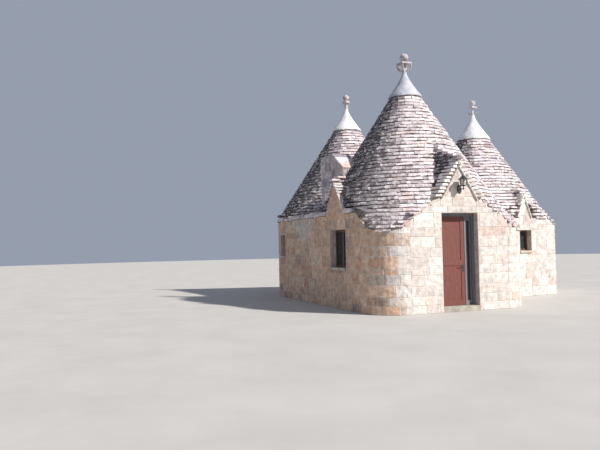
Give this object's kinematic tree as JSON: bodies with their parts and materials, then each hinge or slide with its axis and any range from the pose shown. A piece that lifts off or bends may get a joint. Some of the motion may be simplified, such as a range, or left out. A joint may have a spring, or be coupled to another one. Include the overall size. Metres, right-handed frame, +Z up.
{
  "type": "trullo house",
  "caption": "Dry-stone house with stepped conical stone roofs over round vaulted rooms, gabled front door and windows, white plaster caps with carved pinnacles, and a chimney.",
  "frame": {"origin": "on the level ground under the main cone's point, on the underside of the stone floor", "axes": "+Z up, -Y out of the front door, +X to the right when facing the front door"},
  "size_m": [8.22, 8.785, 6.6966],
  "materials": {
    "wall_stone": "rough limestone blocks",
    "roof_stone": "rough grey limestone slabs",
    "floor_stone": "worn limestone paving",
    "plaster": "matt lime wash",
    "door_wood": "stained red-brown timber",
    "grey_paint": "grey painted timber",
    "iron": "dark green-black paint",
    "pane": "clear window glass over a dark room",
    "lantern_pane": "frosted glass"
  },
  "bodies": {
    "house": {"room_floors": "floor_stone", "door_threshold": "wall_stone", "door_lintel": "plaster", "window_sills": "wall_stone", "front_wall_left": "wall_stone", "front_wall_right": "wall_stone", "front_gable": "wall_stone", "left_window_parapet": "wall_stone", "left_gable": "wall_stone", "left_wall_rear": "wall_stone", "inner_pier": "wall_stone", "passage_arches": "wall_stone", "left_room_side_wall": "wall_stone", "left_room_back_wall": "wall_stone", "left_room_inner_wall": "wall_stone", "right_room_front_wall": "wall_stone", "right_gable": "wall_stone", "right_room_side_wall": "wall_stone", "right_room_inner_wall": "wall_stone", "main_dome": "wall_stone", "left_dome": "wall_stone", "right_dome": "wall_stone", "main_roof_slabs": "roof_stone", "left_roof_slabs": "roof_stone", "right_roof_slabs": "roof_stone", "main_cap": "plaster", "left_cap": "plaster", "right_cap": "plaster", "main_pinnacle": "plaster", "left_pinnacle": "plaster", "right_pinnacle": "plaster", "pinnacle_balls": "plaster", "front_gable_slabs": "roof_stone", "left_gable_slabs": "roof_stone", "right_gable_slabs": "roof_stone", "chimney": "wall_stone", "door_frame": "grey_paint", "window_frames": "door_wood", "window_glass": "pane", "wall_lantern": "iron", "lantern_glass": "lantern_pane"},
    "wide_door": {"wide_leaf": "door_wood", "door_handle": "iron"},
    "narrow_door": {"narrow_leaf": "grey_paint", "narrow_leaf_glass": "pane"}
  },
  "joints": [
    {"name": "wide_door_hinge", "type": "hinge", "parent": "house", "child": "wide_door", "pos_m": [-0.44, -2.008, 0], "axis": [0, 0, 1], "range_deg": [0, 90]},
    {"name": "narrow_door_hinge", "type": "hinge", "parent": "house", "child": "narrow_door", "pos_m": [0.44, -2.008, 0], "axis": [0, 0, -1], "range_deg": [0, 90]}
  ]
}
